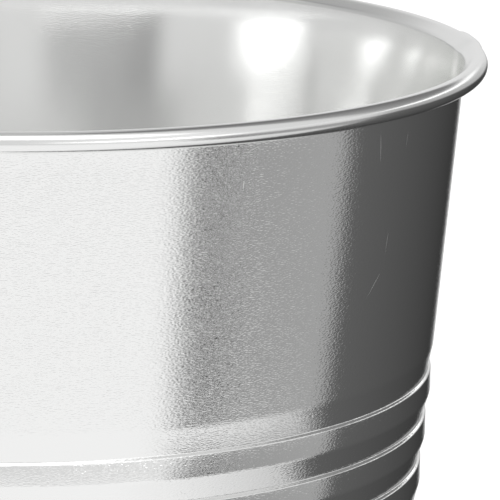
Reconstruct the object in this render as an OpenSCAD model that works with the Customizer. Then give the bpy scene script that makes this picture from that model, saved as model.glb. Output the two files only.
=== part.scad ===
// Galvanised florist bucket: a conical body rolled from one sheet, with a wired rim, three stepped beads,
// a lapped side seam and a pressed base that hangs in a hem.
// The origin is at the centre of the base, on the floor. +Z is up and the lap is near +X.

/* [Overall] */
// Height to the top of the rim
bucket_h = 265; // [200:1:340]
// Outside diameter over the rim
top_d = 280; // [230:1:340]
// Outside diameter at the floor
base_d = 220; // [180:1:226]
// Thickness of the body sheet
sheet_t = 0.5; // [0.4:0.05:0.8]

/* [Rim] */
// Diameter of the wire inside the rim
wire_d = 4.6; // [3:0.1:6]
// Clearance between the wire and the curl around it
wire_gap = 0.1; // [0.05:0.05:0.3]
// Distance from the curl in to the face of the wall below it
neck_in = 0.8; // [0.3:0.1:1.5]
// Height of the flare between the wall and the curl
neck_h = 1.5; // [1.2:0.1:4]
// Angle past the lowest point of the curl at which the sheet stops
curl_end = 25; // [0:1:30]
// Gap between the two ends of the wire
wire_joint = 1; // [0.5:0.1:3]

/* [Beads] */
// Number of beads
bead_n = 3; // [1:1:4]
// Drop from the top of the rim to the first crest
bead_drop = 92; // [60:1:110]
// Distance from crest to crest
bead_pitch = 13.6; // [12:0.1:18]
// How far a crest stands out from the line of the wall
crest_out = 0; // [0:0.1:0.5]
// Height of the face under a crest
face_h = 6.2; // [3:0.1:7]
// How far the foot of that face stands out from the line of the wall
face_out = 0.6; // [0:0.05:1]
// Height of the ledge that leads out to a crest
ledge_h = 0.5; // [0.4:0.1:2]
// Depth of a groove, in from the line of the wall
groove_in = 1; // [0.5:0.1:2]
// Depth of the first groove
first_groove_in = 0.9; // [0.5:0.1:2]
// Height over which the plain wall turns in to the first groove
first_turn_h = 7.4; // [4:0.1:12]
// Height over which the last bead runs out into the lower wall
run_out_h = 11.5; // [10:0.1:20]
// How far the lower wall is set in from the line of the upper one
lower_in = 0.4; // [0:0.1:1.5]

/* [Side seam] */
// Place of the seam, round from +X
seam_at = 9.5; // [0:0.5:45]
// Width of the lap
lap_w = 10; // [6:0.5:20]
// Thickness of the solder between the layers
solder_t = 0.1; // [0.05:0.05:0.2]
// Length of sheet that steps in to form the lap
joggle_w = 1.5; // [1:0.1:4]
// Gap at the cut edge of the outer layer
joint_gap = 0.6; // [0.3:0.1:2]

/* [Base] */
// Height from the floor to the underside of the base
recess_h = 8; // [7:0.5:20]
// Thickness of the base sheet
pan_t = 0.6; // [0.5:0.05:1]
// Height of the raised middle of the base
panel_h = 1.5; // [1:0.1:4]
// Width of the flat border round the raised middle
border_w = 14; // [8:1:30]
// Radius where the base turns down into its flange
pan_r = 1.5; // [1.2:0.1:2]
// Height of the hem that holds the flange
hem_h = 5; // [3:0.5:5.5]
// Clearance at each face of the flange
hem_gap = 0.1; // [0.05:0.05:0.2]
// Corner cut along the foot of the hem
hem_edge = 0.35; // [0.2:0.05:0.4]

/* [Hidden] */
$fn = 96;

zinc = [0.78, 0.79, 0.79];
wire_steel = [0.62, 0.63, 0.64];
pan_zinc = [0.72, 0.73, 0.73];
solder_grey = [0.66, 0.67, 0.68];
sealant_grey = [0.5, 0.51, 0.5];

// Rim: the curl is a tube around the wire, with its centre on the circle rim_r at the height rim_z.
// It starts at the angle curl_start below level, inside the top of the neck
curl_in = wire_d / 2 + wire_gap;
curl_out = curl_in + sheet_t;
rim_r = top_d / 2 - curl_out;
rim_z = bucket_h - curl_out;
curl_start = 12;

// Wall: one straight cone line from the neck to the floor, from which every bead is measured
neck_z = rim_z - neck_h;
neck_r = rim_r - curl_out - neck_in;
slope = (neck_r - lower_in - base_d / 2) / neck_z;
function wall_r(z) = neck_r - slope * (neck_z - z);
function on_wall(z, step) = [wall_r(z) + step, z];

// Beads, counted down from the first crest
first_crest = bucket_h - bead_drop;
last_crest = first_crest - (bead_n - 1) * bead_pitch;
function crest_z(i) = first_crest - i * bead_pitch;
function groove_depth(i) = i == 0 ? first_groove_in : groove_in;

// Outer face of the wall, from the neck down to the floor
outer_line = [
    [rim_r - curl_in, rim_z],
    on_wall(neck_z, 0),
    on_wall(first_crest + ledge_h + first_turn_h, 0),
    for (i = [0 : bead_n - 1]) each [
        on_wall(crest_z(i) + ledge_h, -groove_depth(i)),
        on_wall(crest_z(i), crest_out),
        on_wall(crest_z(i) - face_h, face_out),
    ],
    on_wall(last_crest - run_out_h, -lower_in),
    on_wall(0, -lower_in),
];

// Lap: the inner layer lies against the outer one, with the solder between them
lap_step = sheet_t + solder_t;
turn = 360;
function arc_angle(length) = turn * length / (2 * PI * rim_r);
lap_a = arc_angle(lap_w);
gap_a = arc_angle(joint_gap);
joggle_a = arc_angle(joggle_w);
bend_a = joggle_a / 2;
outer_end = seam_at - lap_a;
lap_foot = recess_h + panel_h + pan_t + joint_gap;
solder_line = [
    for (p = outer_line) if (p[1] > lap_foot && p[1] <= neck_z) p,
    on_wall(lap_foot, -lower_in),
];

// Base: the flange hangs in the hem, and both follow the slope of the wall
function foot_r(z, in) = wall_r(z) - lower_in - in;
flange_out = sheet_t + hem_gap;
flange_in = flange_out + pan_t;
hem_out = flange_in + hem_gap;
hem_in = hem_out + sheet_t;
pan_top = recess_h + pan_t;
flange_foot = sheet_t + hem_gap;
panel_r = foot_r(recess_h, flange_out) - border_w;
corner_steps = 6;

// A point of the rounded shoulder of the base, at an angle up from level
function shoulder(a) = [
    foot_r(pan_top - pan_r, flange_out + pan_r) + pan_r * cos(a),
    pan_top - pan_r + pan_r * sin(a),
];
shoulder_line = [for (i = [0 : corner_steps]) shoulder(90 * i / corner_steps)];

// A line of the wall moved in by a depth, which is the same on every slope and is measured level on the
// plain wall. Its last point, and those from the neck up, move level
function way(a, b) = (b - a) / norm(b - a);
function inward(v) = [v[1], -v[0]];
function corner(m, n) = (m + n) / (1 + m * n);
function inset(line, depth) = [
    for (i = [0 : len(line) - 1])
        i == len(line) - 1 || line[i][1] >= neck_z
            ? line[i] - [depth, 0]
            : line[i] + depth * cos(atan(slope))
                * corner(inward(way(line[i - 1], line[i])), inward(way(line[i], line[i + 1]))),
];
function reversed(points) = [for (i = [len(points) - 1 : -1 : 0]) points[i]];
function above(points, z) = [for (p = points) if (p[1] > z) p];

// A layer of the wall, between two depths measured in from the outer face
module wall_layer(from, to, foot) {
    line = [each above(outer_line, foot), on_wall(foot, -lower_in)];
    polygon([each inset(line, from), each reversed(inset(line, to))]);
}

// The same layer where it is curled around the wire. It is open below, beside the wall
module curl_layer(from, to) {
    far = 2 * curl_out;
    translate([rim_r, rim_z])
        difference() {
            circle(r = curl_in + to);
            circle(r = curl_in + from);
            polygon([
                [0, 0],
                [-far, -far * tan(curl_start)],
                [-far, -far],
                [-far * tan(curl_end), -far],
            ]);
        }
}

module sheet_layer(from, to, foot) {
    wall_layer(from, to, foot);
    curl_layer(from, to);
}

// The short bend that carries the sheet from the outer layer in to the inner one
module bend() {
    intersection() {
        wall_layer(sheet_t / 2, lap_step + sheet_t / 2, hem_h);
        translate([0, lap_foot + joint_gap])
            square([top_d, neck_z - lap_foot - 2 * joint_gap]);
    }
}

// The foot of the sheet, turned in under the flange and up inside it
module hem() {
    polygon([
        [foot_r(hem_edge, 0), hem_edge],
        [foot_r(0, hem_edge), 0],
        [foot_r(0, hem_in - hem_edge), 0],
        [foot_r(hem_edge, hem_in), hem_edge],
        [foot_r(hem_h, hem_in), hem_h],
        [foot_r(hem_h, hem_out), hem_h],
        [foot_r(sheet_t, hem_out), sheet_t],
        [foot_r(sheet_t, sheet_t), sheet_t],
        [foot_r(hem_h, sheet_t), hem_h],
        [foot_r(hem_h, 0), hem_h],
    ]);
}

module body_sheet() {
    color(zinc) {
        rotate([0, 0, outer_end])
            rotate_extrude(angle = turn - gap_a) {
                sheet_layer(0, sheet_t, hem_h);
                hem();
            }
        rotate([0, 0, outer_end - gap_a - joggle_a])
            rotate_extrude(angle = joggle_a + gap_a + lap_a)
                sheet_layer(lap_step, lap_step + sheet_t, lap_foot);
        rotate([0, 0, outer_end - gap_a - (joggle_a + bend_a) / 2])
            rotate_extrude(angle = bend_a)
                bend();
    }
}

module rim_wire() {
    color(wire_steel)
        rotate([0, 0, seam_at + turn / 2])
            rotate_extrude(angle = turn - arc_angle(wire_joint))
                translate([rim_r, rim_z])
                    circle(d = wire_d);
}

module base_pan() {
    color(pan_zinc)
        rotate_extrude()
            polygon([
                [0, recess_h + panel_h],
                [panel_r - panel_h, recess_h + panel_h],
                [panel_r, recess_h],
                [foot_r(recess_h, flange_in + pan_r - pan_t), recess_h],
                [foot_r(pan_top - pan_r, flange_in), pan_top - pan_r],
                [foot_r(flange_foot, flange_in), flange_foot],
                [foot_r(flange_foot, flange_out), flange_foot],
                each shoulder_line,
                [panel_r, pan_top],
                [panel_r - panel_h, pan_top + panel_h],
                [0, pan_top + panel_h],
            ]);
}

module side_seam_solder() {
    color(solder_grey)
        rotate([0, 0, outer_end])
            rotate_extrude(angle = lap_a)
                polygon([
                    each inset(solder_line, sheet_t),
                    each reversed(inset(solder_line, lap_step)),
                ]);
}
module base_seam_sealant() {
    color(sealant_grey)
        rotate_extrude()
            polygon([
                [foot_r(flange_foot, sheet_t), flange_foot],
                [foot_r(flange_foot, flange_out), flange_foot],
                each shoulder_line,
                [foot_r(pan_top, sheet_t), pan_top],
            ]);
}

body_sheet();
rim_wire();
base_pan();
side_seam_solder();
base_seam_sealant();
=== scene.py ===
import math

import bmesh
import bpy
from bpy.props import FloatProperty, FloatVectorProperty, IntProperty, PointerProperty
from mathutils import Matrix, Vector, noise


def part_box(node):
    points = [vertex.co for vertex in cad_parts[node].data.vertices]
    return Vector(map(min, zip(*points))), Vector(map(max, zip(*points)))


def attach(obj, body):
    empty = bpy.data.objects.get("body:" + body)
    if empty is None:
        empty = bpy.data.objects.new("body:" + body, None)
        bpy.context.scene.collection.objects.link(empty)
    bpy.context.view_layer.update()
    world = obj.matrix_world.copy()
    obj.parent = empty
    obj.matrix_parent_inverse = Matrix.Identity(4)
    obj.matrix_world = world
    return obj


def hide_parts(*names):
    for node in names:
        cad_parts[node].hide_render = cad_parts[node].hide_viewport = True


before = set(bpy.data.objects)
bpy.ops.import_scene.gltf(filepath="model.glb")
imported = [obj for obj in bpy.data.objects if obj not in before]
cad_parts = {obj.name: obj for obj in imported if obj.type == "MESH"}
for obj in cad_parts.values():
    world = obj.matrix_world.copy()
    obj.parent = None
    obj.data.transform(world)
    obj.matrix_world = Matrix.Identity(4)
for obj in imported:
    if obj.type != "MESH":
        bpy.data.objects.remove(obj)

bl_info = {
    "name": "Florist bucket",
    "version": (1, 0, 0),
    "blender": (4, 5, 0),
    "location": "3D View > Sidebar > Bucket",
    "description": "Builds a galvanised florist bucket around its design solids, and a small studio for it",
    "category": "Mesh",
}

MM = 0.001
TURN = 2 * math.pi
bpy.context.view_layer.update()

# The wire of the rim fixes where the curl is, and the base pan fixes where the foot is.
WIRE_LOW, WIRE_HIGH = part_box("rim_wire")
WIRE_D = WIRE_HIGH.z - WIRE_LOW.z
RIM_R = (WIRE_HIGH.y - WIRE_LOW.y - WIRE_D) / 2
RIM_Z = (WIRE_HIGH.z + WIRE_LOW.z) / 2
_, PAN_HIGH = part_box("base_pan")

# Length that is rounded off at each kind of corner.
HEM_FOLD = 0.55 * MM
RUN_OUT_ROUND = 2.0 * MM
FACE_FOOT_ROUND = 0.6 * MM
CREST_ROUND = 0.3 * MM
GROOVE_ROUND = 0.3 * MM
FIRST_TURN_ROUND = 0.9 * MM
NECK_ROUND = 0.7 * MM
PANEL_ROUND = 0.8 * MM

# Fineness of the meshes: edges to a rounded corner, edges round the axis, and the longest straight edge.
CORNER_SEGMENTS = 6
WALL_STEPS = 236
LAP_STEPS = 24
SOLDER_STEPS = 8
RING_STEPS = 240
PAN_STEPS = 180
CURL_STEPS = 40
WALL_EDGE = 9 * MM
PAN_EDGE = 12 * MM
# The pan is spun round a pinhole, which is then filled.
PINHOLE_R = 0.5 * MM
# Edges that turn more than this stay sharp.
SHARP = math.radians(50)
# A height on the plain wall under the beads.
PLAIN_WALL_Z = 50 * MM


def length(name, default, description):
    return FloatProperty(name=name, description=description, default=default, unit="LENGTH", precision=5)


def angle(name, degrees, description):
    return FloatProperty(name=name, description=description, default=math.radians(degrees), unit="ROTATION")


def level(name, default, description):
    return FloatProperty(name=name, description=description, default=default, min=0.0)


def colour(name, default, description):
    return FloatVectorProperty(name=name, description=description, default=default, size=3, subtype="COLOR")


# ---------------------------------------------------------------- sizes


class BucketSizes(bpy.types.PropertyGroup):
    """Sizes of the sheet metal"""

    sheet: length("Sheet", 0.5 * MM, "Thickness of the body sheet")
    foot_r: length("Foot radius", 110 * MM, "Outside radius at the floor")
    wire_gap: length("Wire gap", 0.1 * MM, "Clearance between the wire and the curl")
    neck_in: length("Neck inset", 0.8 * MM, "Distance from the curl in to the wall below it")
    neck_drop: length("Neck drop", 1.5 * MM, "Depth below the wire's centre at which the wall line starts")
    neck_lean: angle("Neck lean", 52, "Lean of the short flare under the curl")
    curl_end: angle("Curl end", 25, "How far past its lowest point the curl runs")
    bead_n: IntProperty(name="Beads", description="Number of beads", default=3, min=1)
    bead_drop: length("Bead drop", 92 * MM, "From the top of the rim to the first crest")
    bead_pitch: length("Bead pitch", 13.6 * MM, "From crest to crest")
    crest_out: length("Crest", 0, "How far a crest stands out from the line of the wall")
    face_h: length("Face height", 6.2 * MM, "Height of the face under a crest")
    face_out: length("Face foot", 0.6 * MM, "How far the foot of that face stands out from the wall's line")
    ledge_h: length("Ledge height", 0.5 * MM, "Height of the ledge that leads out to a crest")
    groove_in: length("Groove", 1.0 * MM, "Depth of a groove, in from the line of the wall")
    first_groove_in: length("First groove", 0.9 * MM, "Depth of the first groove")
    first_turn_h: length("First turn", 7.4 * MM, "Height over which the wall turns in to the first groove")
    run_out_h: length("Run out", 11.5 * MM, "Height over which the last bead runs out")
    lower_in: length("Lower inset", 0.4 * MM, "How far the lower wall is set in")
    seam_at: angle("Seam", 9.5, "Place of the seam, round from +X")
    lap: length("Lap", 10 * MM, "Width of the lap")
    joggle: length("Joggle", 9 * MM, "Length of sheet that eases in to form the lap")
    joint_gap: length("Joint gap", 0.6 * MM, "Gap at the cut edge of the outer layer")
    solder: length("Solder", 0.1 * MM, "Thickness of the solder in the lap")
    pan: length("Base sheet", 0.6 * MM, "Thickness of the base sheet")
    pan_round: length("Base corner", 1.5 * MM, "Radius where the base turns down")
    panel_h: length("Base panel", 1.5 * MM, "Height of the raised middle of the base")
    border: length("Base border", 14 * MM, "Width of the flat border round the raised middle")
    hem_h: length("Hem", 5 * MM, "Height of the hem under the base")
    hem_gap: length("Hem gap", 0.1 * MM, "Clearance at each face of the base's flange")
    dent: length("Unevenness", 0.07 * MM, "How far the rolled sheet wanders from a true cone")


class BucketFinish(bpy.types.PropertyGroup):
    """Colours of the metal"""

    zinc: colour("Zinc", (0.942, 0.944, 0.938), "Bright zinc on the body")
    pan_zinc: colour("Base zinc", (0.86, 0.865, 0.86), "Zinc on the base")
    wire: colour("Wire", (0.60, 0.61, 0.62), "Drawn wire")
    solder: colour("Solder", (0.66, 0.67, 0.68), "Solder in the side seam")
    sealant: colour("Sealant", (0.42, 0.43, 0.42), "Sealing compound in the base seam")


class BucketStage(bpy.types.PropertyGroup):
    """The studio"""

    camera_back: length("Camera back", 1.260, "Distance in front of the axis")
    camera_up: length("Camera up", 0.212, "Height above the top of the rim")
    camera_turn: angle("Camera turn", 3.300, "Turn to the right")
    camera_tip: angle("Camera tip", 12.187, "Tip down")
    camera_roll: angle("Camera roll", 0.871, "Roll")
    lens: FloatProperty(name="Lens", description="Focal length in millimetres", default=319.1)
    bounces: IntProperty(name="Bounces", description="Reflections that are followed", default=20, min=1)
    floor_glow: level("Floor glow", 0.45, "Light given off by the floor itself")
    backdrop: level("Backdrop", 1.1, "Brightness of the backdrop behind the bucket")


# ---------------------------------------------------------------- shader maths


class Value:
    """One output of a shader node, which can be used in a Python expression."""

    def __init__(self, tree, socket):
        self.tree = tree
        self.socket = socket

    def out(self, name):
        return Value(self.tree, self.socket.node.outputs[name])

    def _math(self, operation, *inputs):
        return self.tree.node("ShaderNodeMath", {"operation": operation}, dict(enumerate(inputs)))

    def __add__(self, other):
        return self._math("ADD", self, other)

    def __sub__(self, other):
        return self._math("SUBTRACT", self, other)

    def __mul__(self, other):
        return self._math("MULTIPLY", self, other)

    def __truediv__(self, other):
        return self._math("DIVIDE", self, other)

    def __abs__(self):
        return self._math("ABSOLUTE", self)

    __rmul__ = __mul__


class Tree:
    """A node tree of a material or a world, emptied."""

    def __init__(self, owner):
        owner.use_nodes = True
        self.tree = owner.node_tree
        self.tree.nodes.clear()

    def node(self, kind, settings=None, inputs=None):
        """Adds a node, with its settings made first, and gives its first output."""
        node = self.tree.nodes.new(kind)
        for name, value in (settings or {}).items():
            setattr(node, name, value)
        for name, value in (inputs or {}).items():
            if isinstance(value, Value):
                self.tree.links.new(value.socket, node.inputs[name])
            else:
                node.inputs[name].default_value = value
        return Value(self, node.outputs[0]) if node.outputs else node

    def step(self, value, low, high, start=0.0, end=1.0):
        """Eases from start to end as the value goes from low to high."""
        return self.node(
            "ShaderNodeMapRange",
            {"interpolation_type": "SMOOTHSTEP"},
            {"Value": value, "From Min": low, "From Max": high, "To Min": start, "To Max": end},
        )

    def noise(self, place, scale, detail=2.0, roughness=0.5):
        return self.node(
            "ShaderNodeTexNoise",
            {"noise_dimensions": "3D"},
            {"Vector": place, "Scale": scale, "Detail": detail, "Roughness": roughness},
        )

    def stretched(self, place, scale):
        """A place scaled by three factors, so that a pattern on it is drawn out along the smallest."""
        return self.node(
            "ShaderNodeMapping", {"vector_type": "POINT"}, {"Vector": place, "Scale": scale}
        )

    def bump(self, height, distance):
        return self.node(
            "ShaderNodeBump", {}, {"Strength": 1.0, "Distance": distance, "Height": height}
        )

    def mix(self, factor, a, b):
        """A number between a and b."""
        return self.node("ShaderNodeMix", {"data_type": "FLOAT"}, {0: factor, 2: a, 3: b})

    def tint(self, colour, darkest, amount):
        """A colour that is multiplied by a grey between darkest and 1."""
        grey = self.step(amount, 0.0, 1.0, darkest, 1.0)
        shade = self.node("ShaderNodeCombineColor", {}, {"Red": grey, "Green": grey, "Blue": grey})
        return self.node(
            "ShaderNodeMix",
            {"data_type": "RGBA", "blend_type": "MULTIPLY"},
            {"Factor": 1.0, "A": (*colour, 1), "B": shade},
        ).out("Result")


def new_material(name):
    material = bpy.data.materials.new(name)
    return material, Tree(material)


# ---------------------------------------------------------------- finishes


# Cells of the grain to the metre, along each axis. It is finest upward, so it looks drawn out round the wall.
GRAIN_PER_METRE = (1200, 1200, 3800)
# Share of the grain's depth that the inner face of the sheet has.
INSIDE_GRAIN = 0.12
# Added to the roughness where the sheet is worked into the curl.
CURL_ROUGHER = 0.09

# A scratch has a burr of this share of the grain's depth, and is this much rougher than the sheet. It is
# at its strongest up to the first distance from its middle, and gone at the second.
SCRATCH_RISE = 0.6
SCRATCH_ROUGHER = 0.3
SCRATCH_CORE = 0.02 * MM
SCRATCH_EDGE = 0.16 * MM

# Hairline scratches: bearing from the front and lean from upright in degrees, height and length in mm.
SCRATCHES = (
    (51.0, -8, 251, 14),
    (52.5, 43, 212, 16),
    (54.5, 4, 223, 12),
    (57.0, 5, 251, 10),
    (29.0, 3, 247, 5),
    (-58.0, 25, 140, 24),
    (-152.0, -30, 170, 30),
)


def sheet_metal(name, colour, roughness, grain, scratches=()):
    """Bright zinc-coated sheet: fine grain round the wall, faint clouds, and a few hairline scratches."""
    material, t = new_material(name)
    place = t.node("ShaderNodeTexCoord").out("Object")
    outside = t.node("ShaderNodeAttribute", {"attribute_name": "outside"}).out("Fac")

    fine = t.noise(t.stretched(place, GRAIN_PER_METRE), 1.0, 0.0)
    cloud = t.noise(place, 28.0, 3.0, 0.5)
    broad = t.noise(place, 9.0, 2.0, 0.5)

    above_floor = t.node("ShaderNodeSeparateXYZ", {}, {"Vector": place}).out("Z")
    curled = t.step(above_floor, RIM_Z - WIRE_D, RIM_Z, 0.0, CURL_ROUGHER)
    height = fine * t.step(outside, 0.0, 1.0, INSIDE_GRAIN, 1.0)
    rough = t.step(cloud, 0.3, 0.7, roughness * 0.85, roughness * 1.2) + curled
    shade = cloud * 0.4 + broad * 0.6
    for bearing, lean, high, long in scratches:
        mark = scratch(t, place, math.radians(bearing), math.radians(lean), high * MM, long * MM)
        height = height + mark * SCRATCH_RISE
        rough = rough + mark * SCRATCH_ROUGHER

    shader = t.node(
        "ShaderNodeBsdfPrincipled",
        {},
        {
            "Base Color": t.tint(colour, 0.96, shade),
            "Metallic": 1.0,
            "Roughness": rough,
            "Normal": t.bump(height, grain),
        },
    )
    t.node("ShaderNodeOutputMaterial", {}, {"Surface": shader})
    return material


def scratch(t, place, bearing, lean, high, long):
    """A mask for one thin straight scratch on the wall, which fades at its ends."""
    turned = t.node(
        "ShaderNodeVectorRotate",
        {"rotation_type": "Z_AXIS"},
        {"Vector": place, "Angle": -bearing},
    )
    axes = t.node("ShaderNodeSeparateXYZ", {}, {"Vector": turned})
    up = axes.out("Z") - high
    along = up * math.cos(lean) + axes * math.sin(lean)
    across = axes * math.cos(lean) - up * math.sin(lean)
    near_side = t.step(axes.out("Y"), -50 * MM, -40 * MM, 1.0, 0.0)
    line = t.step(abs(across), SCRATCH_CORE, SCRATCH_EDGE, 1.0, 0.0)
    return line * t.step(abs(along), 0.0, long / 2, 1.0, 0.0) * near_side


def plain_metal(name, colour, roughness, grain):
    """Drawn or soldered metal with a fine even grain."""
    material, t = new_material(name)
    place = t.node("ShaderNodeTexCoord").out("Object")
    spots = t.noise(place, 900.0, 2.0, 0.6)
    cloud = t.noise(place, 60.0, 2.0, 0.5)
    shader = t.node(
        "ShaderNodeBsdfPrincipled",
        {},
        {
            "Base Color": t.tint(colour, 0.8, cloud),
            "Metallic": 1.0,
            "Roughness": t.step(cloud, 0.3, 0.7, roughness * 0.85, roughness * 1.15),
            "Normal": t.bump(spots, grain),
        },
    )
    t.node("ShaderNodeOutputMaterial", {}, {"Surface": shader})
    return material


def compound(name, colour):
    """Matt sealing compound with a slightly lumpy face."""
    material, t = new_material(name)
    place = t.node("ShaderNodeTexCoord").out("Object")
    lumps = t.noise(place, 400.0, 3.0, 0.6)
    shader = t.node(
        "ShaderNodeBsdfPrincipled",
        {},
        {
            "Base Color": t.tint(colour, 0.7, lumps),
            "Roughness": t.step(lumps, 0.3, 0.7, 0.55, 0.75),
            "Normal": t.bump(lumps, 0.1 * MM),
        },
    )
    t.node("ShaderNodeOutputMaterial", {}, {"Surface": shader})
    return material


# ---------------------------------------------------------------- outlines


class Wall:
    """Where the sheet runs: every radius and height that the pieces share."""

    def __init__(self, s):
        self.s = s
        self.curl_in = WIRE_D / 2 + s.wire_gap
        self.curl_out = self.curl_in + s.sheet
        self.top = RIM_Z + self.curl_out
        self.neck_z = RIM_Z - s.neck_drop
        self.neck_r = RIM_R - self.curl_out - s.neck_in
        self.slope = (self.neck_r - s.lower_in - s.foot_r) / self.neck_z
        self.lap_step = s.sheet + s.solder
        self.flange_out = s.sheet + s.hem_gap
        self.flange_in = self.flange_out + s.pan
        self.hem_in = self.flange_in + s.hem_gap + s.sheet
        self.pan_top = PAN_HIGH.z - s.panel_h
        self.lap_foot = PAN_HIGH.z + s.joint_gap

    def on_wall(self, z, step=0):
        """A point on the line of the upper wall, moved out by a step."""
        return (self.neck_r - self.slope * (self.neck_z - z) + step, z)

    def on_foot(self, z, inward):
        """A point on the line of the lower wall, moved in."""
        return self.on_wall(z, -self.s.lower_in - inward)

    def neck(self):
        """Where the flare under the curl leaves the wall, and where it meets the curl."""
        lean = self.s.neck_lean
        top_r = RIM_R - self.curl_in * math.cos(lean)
        top_z = RIM_Z + self.curl_in * math.sin(lean)
        out = top_r - self.on_wall(top_z)[0]
        run = out / (math.sin(lean) - self.slope * math.cos(lean))
        foot = (top_r - run * math.sin(lean), top_z - run * math.cos(lean))
        return foot, (top_r, top_z)

    def bead_corners(self):
        """Corners of the beads from the lowest up, each with the length that is rounded off."""
        s = self.s
        first = self.top - s.bead_drop
        last = first - (s.bead_n - 1) * s.bead_pitch
        corners = [(self.on_wall(last - s.run_out_h, -s.lower_in), RUN_OUT_ROUND)]
        for i in reversed(range(s.bead_n)):
            crest = first - i * s.bead_pitch
            depth = s.groove_in if i else s.first_groove_in
            corners += [
                (self.on_wall(crest - s.face_h, s.face_out), FACE_FOOT_ROUND),
                (self.on_wall(crest, s.crest_out), CREST_ROUND),
                (self.on_wall(crest + s.ledge_h, -depth), GROOVE_ROUND),
            ]
        corners.append((self.on_wall(first + s.ledge_h + s.first_turn_h), FIRST_TURN_ROUND))
        return corners


def draw_line(bm, corners):
    """A line of edges in the XZ plane. A corner is a point and the length that is rounded off at it."""
    verts = [bm.verts.new((point[0], 0, point[1])) for point, _ in corners]
    for a, b in zip(verts, verts[1:]):
        bm.edges.new((a, b))
    for vert, (_, rounding) in zip(verts, corners):
        if rounding:
            bmesh.ops.bevel(
                bm,
                geom=[vert],
                offset=rounding,
                offset_type="OFFSET",
                segments=CORNER_SEGMENTS,
                profile=0.5,
                affect="VERTICES",
                material=-1,
            )


def split_long_edges(bm, longest):
    for edge in bm.edges[:]:
        cuts = int(edge.calc_length() / longest)
        if cuts:
            bmesh.ops.subdivide_edges(bm, edges=[edge], cuts=cuts)


def finish_mesh(bm, name, material):
    """Makes the object, smooth all over but for its sharp edges."""
    for face in bm.faces:
        face.smooth = True
    for edge in bm.edges:
        edge.smooth = len(edge.link_faces) != 2 or edge.calc_face_angle() < SHARP
    mesh = bpy.data.meshes.new(name)
    bm.to_mesh(mesh)
    bm.free()
    mesh.materials.append(material)
    piece = bpy.data.objects.new(name, mesh)
    bpy.context.scene.collection.objects.link(piece)
    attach(piece, "root")
    return piece


def spin(bm, geom, angle, steps, use_merge=False):
    """Sweeps a line round the axis, and gives the line at the end of the sweep."""
    return bmesh.ops.spin(
        bm,
        geom=geom,
        cent=(0, 0, 0),
        axis=(0, 0, 1),
        angle=angle,
        steps=steps,
        use_merge=use_merge,
    )["geom_last"]


def spin_whole(bm, steps):
    """Sweeps all of a line once round the axis, and joins it to itself."""
    spin(bm, bm.verts[:] + bm.edges[:], TURN, steps, use_merge=True)
    bmesh.ops.remove_doubles(bm, verts=bm.verts, dist=0.001 * MM)


def spin_solid(bm, name, material):
    """Spins a closed outline into a ring."""
    spin_whole(bm, RING_STEPS)
    bmesh.ops.recalc_face_normals(bm, faces=bm.faces)
    return finish_mesh(bm, name, material)


def close_line(bm):
    """Joins the two free ends of a line."""
    ends = [v for v in bm.verts if len(v.link_edges) == 1]
    bm.edges.new(ends)


# ---------------------------------------------------------------- pieces


def ease(x):
    x = min(max(x, 0.0), 1.0)
    return x * x * (3 - 2 * x)


def unevenness(point):
    """How far a rolled sheet wanders at a place, from -1 to 1: long waves with shorter ones on them."""
    long_wave = noise.noise(point * 16.0)
    short_wave = noise.noise(point * 37.0 + Vector((5, 1, 2)))
    return long_wave * 0.7 + short_wave * 0.3


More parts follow.
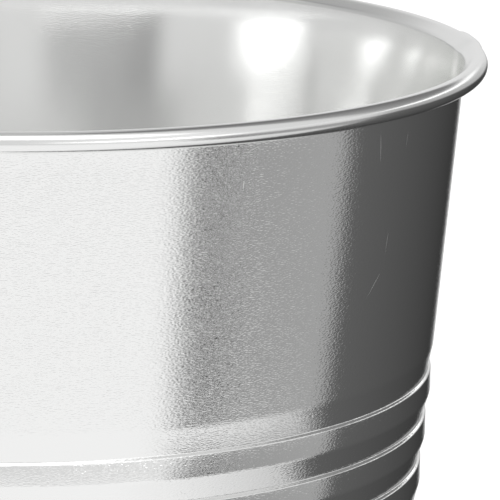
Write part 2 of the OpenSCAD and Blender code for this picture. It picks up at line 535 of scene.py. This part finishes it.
class BUCKET_OT_body(bpy.types.Operator):
    """Rolls the body sheet: hem, wall, beads, curl and side lap in one piece"""

    bl_idname = "bucket.body"
    bl_label = "Body sheet"

    def execute(self, context):
        s = context.scene.bucket_sizes
        wall = Wall(s)
        bm = bmesh.new()
        outside = bm.verts.layers.float.new("outside")
        neck_foot, neck_top = wall.neck()
        corners = [
            (wall.on_foot(s.hem_h, wall.hem_in), 0),
            (wall.on_foot(0, wall.hem_in), HEM_FOLD),
            (wall.on_foot(0, 0), HEM_FOLD),
            *wall.bead_corners(),
            (neck_foot, NECK_ROUND),
            (neck_top, 0),
        ]
        draw_line(bm, corners)
        split_long_edges(bm, WALL_EDGE)
        bmesh.ops.spin(
            bm,
            geom=[max(bm.verts, key=lambda v: v.co.z)],
            cent=(RIM_R, 0, RIM_Z),
            axis=(0, 1, 0),
            angle=math.radians(270) - s.neck_lean + s.curl_end,
            steps=CURL_STEPS,
        )

        lap_angle = s.lap / RIM_R
        gap_angle = s.joint_gap / RIM_R
        joggle_angle = s.joggle / RIM_R
        start = s.seam_at - lap_angle
        turned = Matrix.Rotation(start, 3, "Z")
        bmesh.ops.rotate(bm, verts=bm.verts, cent=(0, 0, 0), matrix=turned)
        line = bm.verts[:] + bm.edges[:]
        line = spin(bm, line, TURN - gap_angle - joggle_angle, WALL_STEPS)
        outer_layer = set(bm.verts)
        spin(bm, line, joggle_angle + gap_angle + lap_angle, LAP_STEPS)
        bmesh.ops.recalc_face_normals(bm, faces=bm.faces)
        # On the plain wall the faces have to look away from the axis.
        probe = min(bm.faces, key=lambda f: abs(f.calc_center_median().z - PLAIN_WALL_Z))
        if probe.normal.dot(probe.calc_center_median()) < 0:
            bmesh.ops.reverse_faces(bm, faces=bm.faces)
        bm.normal_update()

        # The last stretch of the sheet eases in under the first, and is cut away below the lap's foot.
        joggle_start = start - gap_angle - joggle_angle
        notch = []
        moves = []
        for vert in bm.verts:
            if vert in outer_layer:
                continue
            swept = (math.atan2(vert.co.y, vert.co.x) - joggle_start) % TURN
            rise = ease((vert.co.z - PAN_HIGH.z) / s.joint_gap)
            inward = wall.lap_step * ease(swept / joggle_angle) * rise
            moves.append((vert, vert.normal * -inward))
            under_lap = swept > joggle_angle + 0.001
            if under_lap and vert.co.z < wall.lap_foot - 0.1 * MM:
                notch.append(vert)
        for vert, move in moves:
            vert.co += move
        bmesh.ops.delete(bm, geom=notch, context="VERTS")
        for vert in bm.verts:
            if vert.co.z > wall.lap_foot:
                vert.co += vert.normal * unevenness(vert.co) * s.dent
        # The vertices made by the thickening are the inner face.
        for vert in bm.verts:
            vert[outside] = 1.0
        made = bmesh.ops.solidify(bm, geom=bm.faces[:], thickness=s.sheet)
        for vert in made["geom"]:
            if isinstance(vert, bmesh.types.BMVert):
                vert[outside] = 0.0
        finish = context.scene.bucket_finish
        zinc = sheet_metal("bright zinc sheet", finish.zinc, 0.09, 0.038 * MM, SCRATCHES)
        piece = finish_mesh(bm, "body_sheet_rolled", zinc)
        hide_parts("body_sheet")
        return {"FINISHED"}


class BUCKET_OT_wire(bpy.types.Operator):
    """Bends the wire that the rim is curled around"""

    bl_idname = "bucket.wire"
    bl_label = "Rim wire"

    def execute(self, context):
        s = context.scene.bucket_sizes
        bm = bmesh.new()
        across = Matrix.Translation((RIM_R, 0, RIM_Z)) @ Matrix.Rotation(TURN / 4, 4, "X")
        bmesh.ops.create_circle(bm, cap_ends=False, segments=24, radius=WIRE_D / 2, matrix=across)
        finish = context.scene.bucket_finish
        drawn = plain_metal("drawn wire", finish.wire, 0.35, 0.01 * MM)
        piece = spin_solid(bm, "rim_wire_ring", drawn)
        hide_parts("rim_wire")
        return {"FINISHED"}


class BUCKET_OT_base(bpy.types.Operator):
    """Presses the base pan, with its raised middle and its flange"""

    bl_idname = "bucket.base"
    bl_label = "Base pan"

    def execute(self, context):
        s = context.scene.bucket_sizes
        wall = Wall(s)
        bm = bmesh.new()
        top = wall.pan_top
        panel_r = wall.on_foot(top - s.pan, wall.flange_out)[0] - s.border
        corners = [
            (wall.on_foot(s.sheet + s.hem_gap, wall.flange_out), 0),
            (wall.on_foot(top, wall.flange_out), s.pan_round),
            ((panel_r, top), PANEL_ROUND),
            ((panel_r - s.panel_h, PAN_HIGH.z), PANEL_ROUND),
            ((PINHOLE_R, PAN_HIGH.z), 0),
        ]
        draw_line(bm, corners)
        split_long_edges(bm, PAN_EDGE)
        spin_whole(bm, PAN_STEPS)
        pinhole = [e for e in bm.edges if e.is_boundary and e.verts[0].co.z > top]
        bmesh.ops.holes_fill(bm, edges=pinhole, sides=0)
        bmesh.ops.recalc_face_normals(bm, faces=bm.faces)
        middle = min(bm.faces, key=lambda f: f.calc_center_median().xy.length)
        if middle.normal.z < 0:
            bmesh.ops.reverse_faces(bm, faces=bm.faces)
        bmesh.ops.solidify(bm, geom=bm.faces[:], thickness=s.pan)
        finish = context.scene.bucket_finish
        zinc = sheet_metal("bright zinc base", finish.pan_zinc, 0.14, 0.03 * MM)
        piece = finish_mesh(bm, "base_pan_pressed", zinc)
        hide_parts("base_pan")
        return {"FINISHED"}


class BUCKET_OT_seams(bpy.types.Operator):
    """Seals the base seam and solders the side lap"""

    bl_idname = "bucket.seams"
    bl_label = "Seams"

    def execute(self, context):
        scene = context.scene
        wall = Wall(scene.bucket_sizes)
        self.seal_base(wall, scene.bucket_finish)
        self.solder_lap(wall, scene.bucket_finish)
        return {"FINISHED"}

    def seal_base(self, wall, finish):
        s = wall.s
        bm = bmesh.new()
        fillet = s.pan_round
        foot = s.sheet + s.hem_gap
        corners = [
            (wall.on_foot(foot, s.sheet), 0),
            (wall.on_foot(foot, wall.flange_out), 0),
            (wall.on_foot(wall.pan_top, wall.flange_out), fillet),
            (wall.on_foot(wall.pan_top, wall.flange_out + fillet), 0),
            (wall.on_foot(wall.pan_top + 0.1 * MM, wall.flange_out + fillet / 2), 0),
            (wall.on_foot(wall.pan_top + 0.5 * MM, s.sheet), 0),
        ]
        draw_line(bm, corners)
        close_line(bm)
        sealing = compound("sealing compound", finish.sealant)
        piece = spin_solid(bm, "base_seam_compound", sealing)
        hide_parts("base_seam_sealant")

    def solder_lap(self, wall, finish):
        s = wall.s
        bm = bmesh.new()
        neck_foot, _ = wall.neck()
        line = [(wall.on_foot(wall.lap_foot, 0), 0), *wall.bead_corners(), (neck_foot, 0)]
        draw_line(bm, line)
        split_long_edges(bm, WALL_EDGE)
        lap_angle = s.lap / RIM_R
        turned = Matrix.Rotation(s.seam_at - lap_angle, 3, "Z")
        bmesh.ops.rotate(bm, verts=bm.verts, cent=(0, 0, 0), matrix=turned)
        spin(bm, bm.verts[:] + bm.edges[:], lap_angle, SOLDER_STEPS)
        bmesh.ops.recalc_face_normals(bm, faces=bm.faces)
        bm.faces.ensure_lookup_table()
        if bm.faces[0].normal.dot(bm.faces[0].calc_center_median()) < 0:
            bmesh.ops.reverse_faces(bm, faces=bm.faces)
        bm.normal_update()
        for vert in bm.verts:
            vert.co += vert.normal * (unevenness(vert.co) * s.dent - s.sheet)
        bmesh.ops.solidify(bm, geom=bm.faces[:], thickness=s.solder)
        solder = plain_metal("seam solder", finish.solder, 0.4, 0.02 * MM)
        piece = finish_mesh(bm, "side_seam_film", solder)
        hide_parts("side_seam_solder")


# ---------------------------------------------------------------- studio

# The studio round the bucket, painted one panel over the other. A panel has a name, its azimuths from the
# front (0) round the right (90) to the back (180) with their softness, its elevations with their softness,
# all in degrees, and its brightness at its first and its last azimuth.
PANELS = (
    ("room", (-180, 180, 1), (-90, 90, 1), (0.72, 0.72)),
    ("left wall", (-137, -65, 22), (-5, 35, 12), (0.50, 0.50)),
    ("dim ceiling", (158, 260, 10), (30, 90, 10), (0.60, 0.30)),
    ("dim corner", (98, 164, 7), (20, 78, 4), (0.34, 0.12)),
    ("front wall", (2, 53, 8), (-9, 62, 5), (0.72, 0.90)),
    ("front window", (18, 50, 13), (2.5, 9.0, 1.8), (2.6, 2.6)),
    ("right softbox", (50, 98, 7), (9, 16, 2), (0.85, 0.80)),
    ("right wall", (98, 158, 8), (-10, 13, 2), (0.36, 0.53)),
    ("rear window", (104, 161, 8), (13.5, 18, 1.5), (1.6, 1.6)),
    ("rear wall", (163, 215, 8), (-2, 26, 4), (0.80, 0.72)),
    ("front hood", (-75, 50, 10), (41, 80, 4), (1.6, 1.6)),
    ("front floor", (-180, 47, 7), (-90, -16, 3), (0.95, 0.95)),
    ("right floor", (46, 97, 3), (-90, -27, 3), (0.95, 0.58)),
    ("right card", (50, 97, 5), (-27, -4, 3), (0.32, 0.38)),
    ("right flag", (95.5, 168, 2.5), (-90, -4, 3), (0.12, 0.03)),
    ("rear floor", (166, 181, 4), (-90, -2, 3), (0.70, 0.70)),
)
# The slats in front of the card: their azimuths and elevations as above, their pitch and two brightnesses.
SLATS = ((47, 63, 6), (-30, -8, 3), 5.2, (0.0, 0.67))
# The slats follow a sine, and change their brightness while it is between minus and plus this.
SLAT_SOFT = 0.4


def span(t, value, low, high, soft):
    """1 between two angles in degrees and 0 beyond them, with soft edges."""
    low, high, soft = (math.radians(x) for x in (low, high, soft))
    mask = 1.0
    if high < TURN / 4:
        mask = t.step(value, high - soft, high + soft, 1.0, 0.0)
    if low > -TURN / 4:
        mask = mask * t.step(value, low - soft, low + soft)
    return mask


def compass(t, bearing, left, right, soft):
    """1 between two bearings in degrees and 0 beyond them, with how far round between them it is."""
    middle, half, blur = (math.radians(x) for x in ((left + right) / 2, (right - left) / 2, soft))
    away = t.node(
        "ShaderNodeMath", {"operation": "WRAP"}, {0: bearing - middle, 1: math.pi, 2: -math.pi}
    )
    mask = t.step(abs(away), half - blur, half + blur, 1.0, 0.0) if half < math.pi else 1.0
    return mask, away / (2 * half) + 0.5


def studio_light(t, direction):
    """The brightness that the studio shows in a direction."""
    axes = t.node("ShaderNodeSeparateXYZ", {}, {"Vector": direction})
    toward = axes.out("Y") * -1.0
    bearing = t.node("ShaderNodeMath", {"operation": "ARCTAN2"}, {0: axes.out("X"), 1: toward})
    up = t.node("ShaderNodeMath", {"operation": "ARCSINE"}, {0: axes.out("Z")})
    light = 0.0
    for _, round_about, height, (first, last) in PANELS:
        mask, across = compass(t, bearing, *round_about)
        mask = mask * span(t, up, *height)
        light = t.mix(mask, light, across * (last - first) + first)
    round_about, height, pitch, (dark, bright) = SLATS
    mask, _ = compass(t, bearing, *round_about)
    wave = t.node("ShaderNodeMath", {"operation": "SINE"}, {0: up * (360 / pitch)})
    slat = t.step(wave, -SLAT_SOFT, SLAT_SOFT, dark, bright)
    return t.mix(mask * span(t, up, *height), light, slat)


class BUCKET_OT_stage(bpy.types.Operator):
    """Sets up the camera, the pale floor and the soft studio light"""

    bl_idname = "bucket.stage"
    bl_label = "Studio"

    def execute(self, context):
        scene = context.scene
        stage = scene.bucket_stage
        scene.view_settings.view_transform = "Standard"
        scene.cycles.max_bounces = stage.bounces
        scene.cycles.glossy_bounces = stage.bounces
        self.add_camera(scene, stage)
        self.add_light(scene, stage)
        self.add_floor(scene, stage)
        return {"FINISHED"}

    def add_camera(self, scene, stage):
        data = bpy.data.cameras.new("camera")
        data.lens = stage.lens
        data.clip_end = 100
        camera = bpy.data.objects.new("camera", data)
        scene.collection.objects.link(camera)
        top = Wall(scene.bucket_sizes).top
        place = Matrix.Translation((0, -stage.camera_back, top + stage.camera_up))
        turn = Matrix.Rotation(-stage.camera_turn, 4, "Z")
        tip = Matrix.Rotation(TURN / 4 - stage.camera_tip, 4, "X")
        roll = Matrix.Rotation(stage.camera_roll, 4, "Z")
        camera.matrix_world = place @ turn @ tip @ roll
        scene.camera = camera

    def add_light(self, scene, stage):
        world = bpy.data.worlds.new("studio")
        scene.world = world
        t = Tree(world)
        direction = t.node("ShaderNodeTexCoord").out("Generated")
        light = studio_light(t, direction)
        soft = t.node("ShaderNodeBackground", {}, {"Color": (1, 1, 1, 1), "Strength": light})
        plain = t.node("ShaderNodeBackground", {}, {"Color": (1, 1, 1, 1), "Strength": stage.backdrop})
        seen = t.node("ShaderNodeLightPath").out("Is Camera Ray")
        both = t.node("ShaderNodeMixShader", {}, {0: seen, 1: soft, 2: plain})
        t.node("ShaderNodeOutputWorld", {}, {"Surface": both})

    def add_floor(self, scene, stage):
        bm = bmesh.new()
        bmesh.ops.create_grid(bm, x_segments=1, y_segments=1, size=40)
        mesh = bpy.data.meshes.new("floor")
        bm.to_mesh(mesh)
        bm.free()
        floor = bpy.data.objects.new("floor", mesh)
        scene.collection.objects.link(floor)
        # The metal mirrors the painted studio, floor and all.
        floor.visible_glossy = False
        material, t = new_material("pale floor")
        pale = t.node("ShaderNodeBsdfDiffuse", {}, {"Color": (0.9, 0.9, 0.9, 1)})
        glow = t.node("ShaderNodeEmission", {}, {"Strength": stage.floor_glow})
        lit = t.node("ShaderNodeAddShader", {}, {0: pale, 1: glow})
        clear = t.node("ShaderNodeBsdfTransparent")
        below = t.node("ShaderNodeNewGeometry").out("Backfacing")
        both = t.node("ShaderNodeMixShader", {}, {0: below, 1: lit, 2: clear})
        t.node("ShaderNodeOutputMaterial", {}, {"Surface": both})
        mesh.materials.append(material)


# ---------------------------------------------------------------- add-on


class BUCKET_PT_panel(bpy.types.Panel):
    """The steps that build the bucket"""

    bl_idname = "BUCKET_PT_panel"
    bl_label = "Florist bucket"
    bl_space_type = "VIEW_3D"
    bl_region_type = "UI"
    bl_category = "Bucket"

    def draw(self, context):
        for step in STEPS:
            self.layout.operator(step.bl_idname)
        for group in (context.scene.bucket_sizes, context.scene.bucket_finish, context.scene.bucket_stage):
            box = self.layout.box()
            for name in group.__annotations__:
                box.prop(group, name)


GROUPS = {"bucket_sizes": BucketSizes, "bucket_finish": BucketFinish, "bucket_stage": BucketStage}
STEPS = (BUCKET_OT_stage, BUCKET_OT_body, BUCKET_OT_wire, BUCKET_OT_base, BUCKET_OT_seams)


def register():
    for cls in (*GROUPS.values(), *STEPS, BUCKET_PT_panel):
        bpy.utils.register_class(cls)
    for name, cls in GROUPS.items():
        setattr(bpy.types.Scene, name, PointerProperty(type=cls))


def unregister():
    for name in GROUPS:
        delattr(bpy.types.Scene, name)
    for cls in (BUCKET_PT_panel, *reversed(STEPS), *reversed(GROUPS.values())):
        bpy.utils.unregister_class(cls)


def main():
    register()
    bpy.ops.bucket.stage()
    bpy.ops.bucket.body()
    bpy.ops.bucket.wire()
    bpy.ops.bucket.base()
    bpy.ops.bucket.seams()


if __name__ == "__main__":
    main()
